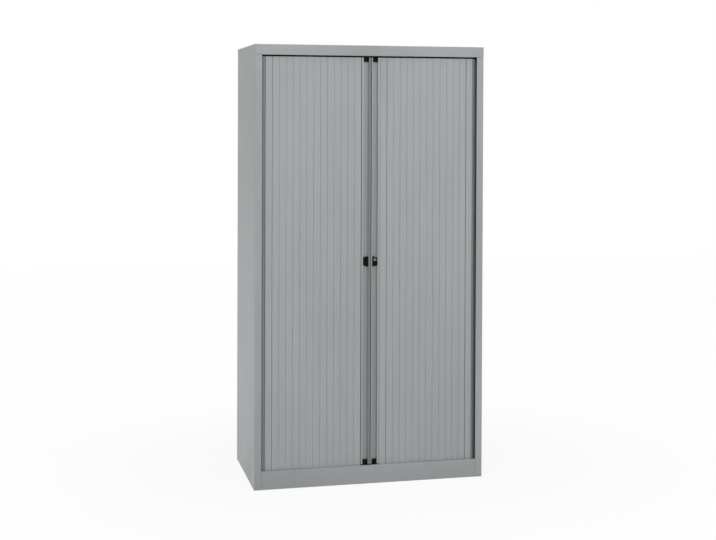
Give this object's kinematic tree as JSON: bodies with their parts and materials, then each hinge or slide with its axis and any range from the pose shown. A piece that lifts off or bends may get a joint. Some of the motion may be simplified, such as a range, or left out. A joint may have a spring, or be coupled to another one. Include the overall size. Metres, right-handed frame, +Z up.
{
  "type": "roll front tool cabinet",
  "caption": "Tall steel storage cabinet with two side-opening slatted roll fronts, adjustable shelves, finger channels and a cylinder lock.",
  "frame": {"origin": "middle of the footprint on the floor", "axes": "+Z up, -Y is the front with the roll fronts, +X to the right as seen from the front"},
  "size_m": [1, 0.47, 1.86],
  "materials": {
    "carcass_paint": "silver-grey powder coat, fine orange peel",
    "inner_paint": "silver-grey powder coat",
    "slat_plastic": "satin extruded plastic, silver grey",
    "rail_aluminium": "satin anodised extrusion",
    "black_plastic": "moulded, fine texture",
    "zinc_steel": "zinc plated",
    "lock_chrome": "bright"
  },
  "bodies": {
    "cabinet": {"top_panel": "carcass_paint", "back_panel": "carcass_paint", "base_panel": "carcass_paint", "plinth": "carcass_paint", "track_screws": "zinc_steel", "foot_brackets": "zinc_steel", "levelling_feet": "black_plastic", "shelf_clips": "zinc_steel", "shelf_1": "inner_paint", "shelf_2": "inner_paint", "shelf_3": "inner_paint", "shelf_4": "inner_paint", "left_side_panel": "carcass_paint", "left_inner_liner": "inner_paint", "left_bottom_track": "black_plastic", "left_top_track": "black_plastic", "right_side_panel": "carcass_paint", "right_inner_liner": "inner_paint", "right_bottom_track": "black_plastic", "right_top_track": "black_plastic"},
    "left_front": {"left_lead_rail": "rail_aluminium", "left_lead_caps": "black_plastic", "left_keeper": "black_plastic", "left_slat_14": "slat_plastic"},
    "right_front": {"right_lead_rail": "rail_aluminium", "right_lead_caps": "black_plastic", "lock_housing": "black_plastic", "right_slat_14": "slat_plastic"},
    "left_slat_13": {"left_slat_13": "slat_plastic"},
    "left_slat_12": {"left_slat_12": "slat_plastic"},
    "left_slat_11": {"left_slat_11": "slat_plastic"},
    "left_slat_10": {"left_slat_10": "slat_plastic"},
    "left_slat_09": {"left_slat_09": "slat_plastic"},
    "left_slat_08": {"left_slat_08": "slat_plastic"},
    "left_slat_07": {"left_slat_07": "slat_plastic"},
    "left_slat_06": {"left_slat_06": "slat_plastic"},
    "left_slat_05": {"left_slat_05": "slat_plastic"},
    "left_slat_04": {"left_slat_04": "slat_plastic"},
    "left_slat_03": {"left_slat_03": "slat_plastic"},
    "left_slat_02": {"left_slat_02": "slat_plastic"},
    "left_slat_01": {"left_slat_01": "slat_plastic"},
    "left_corner_slat": {"left_corner_slat": "slat_plastic"},
    "left_tail_slat": {"left_tail_slat": "slat_plastic"},
    "right_slat_13": {"right_slat_13": "slat_plastic"},
    "right_slat_12": {"right_slat_12": "slat_plastic"},
    "right_slat_11": {"right_slat_11": "slat_plastic"},
    "right_slat_10": {"right_slat_10": "slat_plastic"},
    "right_slat_09": {"right_slat_09": "slat_plastic"},
    "right_slat_08": {"right_slat_08": "slat_plastic"},
    "right_slat_07": {"right_slat_07": "slat_plastic"},
    "right_slat_06": {"right_slat_06": "slat_plastic"},
    "right_slat_05": {"right_slat_05": "slat_plastic"},
    "right_slat_04": {"right_slat_04": "slat_plastic"},
    "right_slat_03": {"right_slat_03": "slat_plastic"},
    "right_slat_02": {"right_slat_02": "slat_plastic"},
    "right_slat_01": {"right_slat_01": "slat_plastic"},
    "right_corner_slat": {"right_corner_slat": "slat_plastic"},
    "right_tail_slat": {"right_tail_slat": "slat_plastic"},
    "lock_cylinder": {"lock_cylinder": "lock_chrome"},
    "lock_hook": {"lock_hook": "zinc_steel"}
  },
  "joints": [
    {"name": "left_front_slide", "type": "slide", "parent": "cabinet", "child": "left_front", "axis": [-1, 0, 0], "range_m": [0, 0.3835]},
    {"name": "right_front_slide", "type": "slide", "parent": "cabinet", "child": "right_front", "axis": [1, 0, 0], "range_m": [0, 0.3835]},
    {"name": "left_slat_13_travel", "type": "slide", "parent": "cabinet", "child": "left_slat_13", "axis": [-0.9923, 0.1243, 0], "range_m": [0, 0.39356], "deforming": ["left_slat_13"]},
    {"name": "left_slat_12_travel", "type": "slide", "parent": "cabinet", "child": "left_slat_12", "axis": [-0.9874, 0.1581, 0], "range_m": [0, 0.36561], "deforming": ["left_slat_12"]},
    {"name": "left_slat_11_travel", "type": "slide", "parent": "cabinet", "child": "left_slat_11", "axis": [-0.9804, 0.1972, 0], "range_m": [0, 0.33815], "deforming": ["left_slat_11"]},
    {"name": "left_slat_10_travel", "type": "slide", "parent": "cabinet", "child": "left_slat_10", "axis": [-0.9701, 0.2428, 0], "range_m": [0, 0.31133], "deforming": ["left_slat_10"]},
    {"name": "left_slat_09_travel", "type": "slide", "parent": "cabinet", "child": "left_slat_09", "axis": [-0.9551, 0.2962, 0], "range_m": [0, 0.28531], "deforming": ["left_slat_09"]},
    {"name": "left_slat_08_travel", "type": "slide", "parent": "cabinet", "child": "left_slat_08", "axis": [-0.9334, 0.3588, 0], "range_m": [0, 0.26034], "deforming": ["left_slat_08"]},
    {"name": "left_slat_07_travel", "type": "slide", "parent": "cabinet", "child": "left_slat_07", "axis": [-0.9018, 0.4321, 0], "range_m": [0, 0.23675], "deforming": ["left_slat_07"]},
    {"name": "left_slat_06_travel", "type": "slide", "parent": "cabinet", "child": "left_slat_06", "axis": [-0.8559, 0.5172, 0], "range_m": [0, 0.215], "deforming": ["left_slat_06"]},
    {"name": "left_slat_05_travel", "type": "slide", "parent": "cabinet", "child": "left_slat_05", "axis": [-0.7895, 0.6137, 0], "range_m": [0, 0.1957], "deforming": ["left_slat_05"]},
    {"name": "left_slat_04_travel", "type": "slide", "parent": "cabinet", "child": "left_slat_04", "axis": [-0.6959, 0.7181, 0], "range_m": [0, 0.17964], "deforming": ["left_slat_04"]},
    {"name": "left_slat_03_travel", "type": "slide", "parent": "cabinet", "child": "left_slat_03", "axis": [-0.5694, 0.8221, 0], "range_m": [0, 0.16775], "deforming": ["left_slat_03"]},
    {"name": "left_slat_02_travel", "type": "slide", "parent": "cabinet", "child": "left_slat_02", "axis": [-0.4101, 0.912, 0], "range_m": [0, 0.16096], "deforming": ["left_slat_02"]},
    {"name": "left_slat_01_travel", "type": "slide", "parent": "cabinet", "child": "left_slat_01", "axis": [-0.2283, 0.9736, 0], "range_m": [0, 0.15993], "deforming": ["left_slat_01"]},
    {"name": "left_corner_slat_travel", "type": "slide", "parent": "cabinet", "child": "left_corner_slat", "axis": [-0.0643, 0.9979, 0], "range_m": [0, 0.16635], "deforming": ["left_corner_slat"]},
    {"name": "left_tail_slat_travel", "type": "slide", "parent": "cabinet", "child": "left_tail_slat", "axis": [0, 1, 0], "range_m": [0, 0.3835]},
    {"name": "right_slat_13_travel", "type": "slide", "parent": "cabinet", "child": "right_slat_13", "axis": [0.9923, 0.1243, 0], "range_m": [0, 0.39356], "deforming": ["right_slat_13"]},
    {"name": "right_slat_12_travel", "type": "slide", "parent": "cabinet", "child": "right_slat_12", "axis": [0.9874, 0.1581, 0], "range_m": [0, 0.36561], "deforming": ["right_slat_12"]},
    {"name": "right_slat_11_travel", "type": "slide", "parent": "cabinet", "child": "right_slat_11", "axis": [0.9804, 0.1972, 0], "range_m": [0, 0.33815], "deforming": ["right_slat_11"]},
    {"name": "right_slat_10_travel", "type": "slide", "parent": "cabinet", "child": "right_slat_10", "axis": [0.9701, 0.2428, 0], "range_m": [0, 0.31133], "deforming": ["right_slat_10"]},
    {"name": "right_slat_09_travel", "type": "slide", "parent": "cabinet", "child": "right_slat_09", "axis": [0.9551, 0.2962, 0], "range_m": [0, 0.28531], "deforming": ["right_slat_09"]},
    {"name": "right_slat_08_travel", "type": "slide", "parent": "cabinet", "child": "right_slat_08", "axis": [0.9334, 0.3588, 0], "range_m": [0, 0.26034], "deforming": ["right_slat_08"]},
    {"name": "right_slat_07_travel", "type": "slide", "parent": "cabinet", "child": "right_slat_07", "axis": [0.9018, 0.4321, 0], "range_m": [0, 0.23675], "deforming": ["right_slat_07"]},
    {"name": "right_slat_06_travel", "type": "slide", "parent": "cabinet", "child": "right_slat_06", "axis": [0.8559, 0.5172, 0], "range_m": [0, 0.215], "deforming": ["right_slat_06"]},
    {"name": "right_slat_05_travel", "type": "slide", "parent": "cabinet", "child": "right_slat_05", "axis": [0.7895, 0.6137, 0], "range_m": [0, 0.1957], "deforming": ["right_slat_05"]},
    {"name": "right_slat_04_travel", "type": "slide", "parent": "cabinet", "child": "right_slat_04", "axis": [0.6959, 0.7181, 0], "range_m": [0, 0.17964], "deforming": ["right_slat_04"]},
    {"name": "right_slat_03_travel", "type": "slide", "parent": "cabinet", "child": "right_slat_03", "axis": [0.5694, 0.8221, 0], "range_m": [0, 0.16775], "deforming": ["right_slat_03"]},
    {"name": "right_slat_02_travel", "type": "slide", "parent": "cabinet", "child": "right_slat_02", "axis": [0.4101, 0.912, 0], "range_m": [0, 0.16096], "deforming": ["right_slat_02"]},
    {"name": "right_slat_01_travel", "type": "slide", "parent": "cabinet", "child": "right_slat_01", "axis": [0.2283, 0.9736, 0], "range_m": [0, 0.15993], "deforming": ["right_slat_01"]},
    {"name": "right_corner_slat_travel", "type": "slide", "parent": "cabinet", "child": "right_corner_slat", "axis": [0.0643, 0.9979, 0], "range_m": [0, 0.16635], "deforming": ["right_corner_slat"]},
    {"name": "right_tail_slat_travel", "type": "slide", "parent": "cabinet", "child": "right_tail_slat", "axis": [0, 1, 0], "range_m": [0, 0.3835]},
    {"name": "key_turn", "type": "hinge", "parent": "right_front", "child": "lock_cylinder", "pos_m": [0.02, -0.22, 0.951], "axis": [0, -1, 0], "range_deg": [0, 90]},
    {"name": "hook_turn", "type": "hinge", "parent": "right_front", "child": "lock_hook", "pos_m": [0.0115, -0.213, 0.9345], "axis": [0, -1, 0], "range_deg": [0, 90]}
  ],
  "couplings": [
    {"joint": "left_slat_13_travel", "follows": "left_front_slide", "ratio": 1.0262},
    {"joint": "left_slat_12_travel", "follows": "left_front_slide", "ratio": 0.95334},
    {"joint": "left_slat_11_travel", "follows": "left_front_slide", "ratio": 0.88175},
    {"joint": "left_slat_10_travel", "follows": "left_front_slide", "ratio": 0.81181},
    {"joint": "left_slat_09_travel", "follows": "left_front_slide", "ratio": 0.74396},
    {"joint": "left_slat_08_travel", "follows": "left_front_slide", "ratio": 0.67885},
    {"joint": "left_slat_07_travel", "follows": "left_front_slide", "ratio": 0.61735},
    {"joint": "left_slat_06_travel", "follows": "left_front_slide", "ratio": 0.56063},
    {"joint": "left_slat_05_travel", "follows": "left_front_slide", "ratio": 0.51029},
    {"joint": "left_slat_04_travel", "follows": "left_front_slide", "ratio": 0.46841},
    {"joint": "left_slat_03_travel", "follows": "left_front_slide", "ratio": 0.43741},
    {"joint": "left_slat_02_travel", "follows": "left_front_slide", "ratio": 0.41971},
    {"joint": "left_slat_01_travel", "follows": "left_front_slide", "ratio": 0.41701},
    {"joint": "left_corner_slat_travel", "follows": "left_front_slide", "ratio": 0.43375},
    {"joint": "left_tail_slat_travel", "follows": "left_front_slide", "ratio": 1},
    {"joint": "right_slat_13_travel", "follows": "right_front_slide", "ratio": 1.0262},
    {"joint": "right_slat_12_travel", "follows": "right_front_slide", "ratio": 0.95334},
    {"joint": "right_slat_11_travel", "follows": "right_front_slide", "ratio": 0.88175},
    {"joint": "right_slat_10_travel", "follows": "right_front_slide", "ratio": 0.81181},
    {"joint": "right_slat_09_travel", "follows": "right_front_slide", "ratio": 0.74396},
    {"joint": "right_slat_08_travel", "follows": "right_front_slide", "ratio": 0.67885},
    {"joint": "right_slat_07_travel", "follows": "right_front_slide", "ratio": 0.61735},
    {"joint": "right_slat_06_travel", "follows": "right_front_slide", "ratio": 0.56063},
    {"joint": "right_slat_05_travel", "follows": "right_front_slide", "ratio": 0.51029},
    {"joint": "right_slat_04_travel", "follows": "right_front_slide", "ratio": 0.46841},
    {"joint": "right_slat_03_travel", "follows": "right_front_slide", "ratio": 0.43741},
    {"joint": "right_slat_02_travel", "follows": "right_front_slide", "ratio": 0.41971},
    {"joint": "right_slat_01_travel", "follows": "right_front_slide", "ratio": 0.41701},
    {"joint": "right_corner_slat_travel", "follows": "right_front_slide", "ratio": 0.43375},
    {"joint": "right_tail_slat_travel", "follows": "right_front_slide", "ratio": 1},
    {"joint": "hook_turn", "follows": "key_turn", "ratio": 1}
  ]
}
